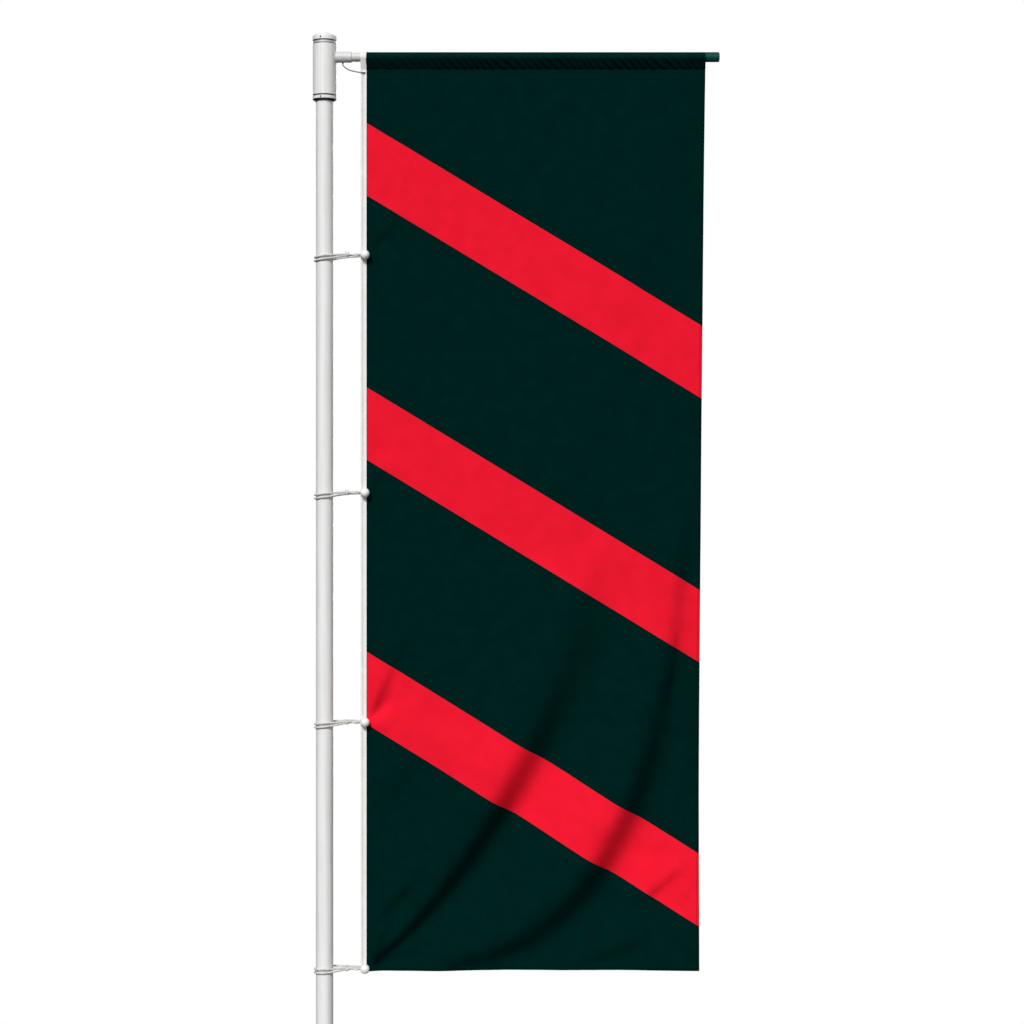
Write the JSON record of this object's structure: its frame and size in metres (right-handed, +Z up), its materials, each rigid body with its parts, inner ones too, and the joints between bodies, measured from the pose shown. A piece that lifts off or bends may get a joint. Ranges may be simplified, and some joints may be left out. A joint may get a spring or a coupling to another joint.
{
  "type": "banner flag with pole",
  "caption": "Portrait banner hung from an outrigger arm on a turning mast head, tied back to the mast with ball ties, on a bolted base plate.",
  "frame": {"origin": "mast axis at the underside of the base plate, where it meets the foundation", "axes": "+Z up along the mast; +X from the mast along the arm; the banner lies in the XZ plane and its ball ties are on the -Y side"},
  "size_m": [1.868, 0.3, 7.0476],
  "materials": {
    "coated_white": "white powder coat, satin",
    "cast_grey": "cast and turned, light grey",
    "black_plastic": "moulded, matt",
    "galvanised": "hot-dip galvanised, spangled",
    "stainless": "stainless, machined",
    "cloth": "knitted polyester flag cloth, dark green with red bands",
    "tape": "white woven tape",
    "cord": "white braided cord",
    "ball": "white moulded, semi-gloss",
    "tip_plastic": "dark teal moulded"
  },
  "bodies": {
    "mast": {"base_plate": "galvanised", "base_socket": "galvanised", "base_gusset_1": "galvanised", "base_gusset_2": "galvanised", "base_gusset_3": "galvanised", "base_gusset_4": "galvanised", "anchor_stud_1": "stainless", "anchor_stud_2": "stainless", "anchor_stud_3": "stainless", "anchor_stud_4": "stainless", "anchor_washer_1": "stainless", "anchor_washer_2": "stainless", "anchor_washer_3": "stainless", "anchor_washer_4": "stainless", "anchor_nut_1": "stainless", "anchor_nut_2": "stainless", "anchor_nut_3": "stainless", "anchor_nut_4": "stainless", "socket_screw_1": "stainless", "socket_screw_2": "stainless", "pole_tube": "coated_white", "pole_top_plug": "cast_grey", "thrust_washer": "black_plastic", "retaining_washer": "stainless", "retaining_bolt": "stainless"},
    "rotor": {"rotor_sleeve": "coated_white", "lower_bearing_bush": "black_plastic", "upper_bearing_bush": "black_plastic", "lower_collar": "coated_white", "collar_screw": "stainless", "lower_wiper": "black_plastic", "top_ring": "cast_grey", "cap_seal": "black_plastic", "head_cap": "coated_white", "cap_screw": "stainless", "arm_socket": "coated_white", "arm_set_screw": "stainless", "stay_ferrule": "black_plastic", "flag_stay_cord": "cord", "flag_panel": "cloth", "flag_pocket": "cloth", "hoist_tape": "tape", "hoist_rope": "cord", "hoist_eyelet_1": "stainless", "hoist_eyelet_2": "stainless", "hoist_eyelet_3": "stainless", "hoist_eyelet_4": "stainless", "hoist_eyelet_5": "stainless", "tie_1_cord": "cord", "tie_1_ball": "ball", "tie_2_cord": "cord", "tie_2_ball": "ball", "tie_3_cord": "cord", "tie_3_ball": "ball", "tie_4_cord": "cord", "tie_4_ball": "ball"},
    "arm": {"arm_tube": "coated_white", "arm_tip_cap": "tip_plastic"}
  },
  "joints": [
    {"name": "rotor_turn", "type": "hinge", "parent": "mast", "child": "rotor", "pos_m": [0, 0, 6.822], "axis": [0, 0, 1], "continuous": true},
    {"name": "arm_slide", "type": "slide", "parent": "rotor", "child": "arm", "axis": [1, 0, 0], "range_m": [0, 0.045]}
  ]
}
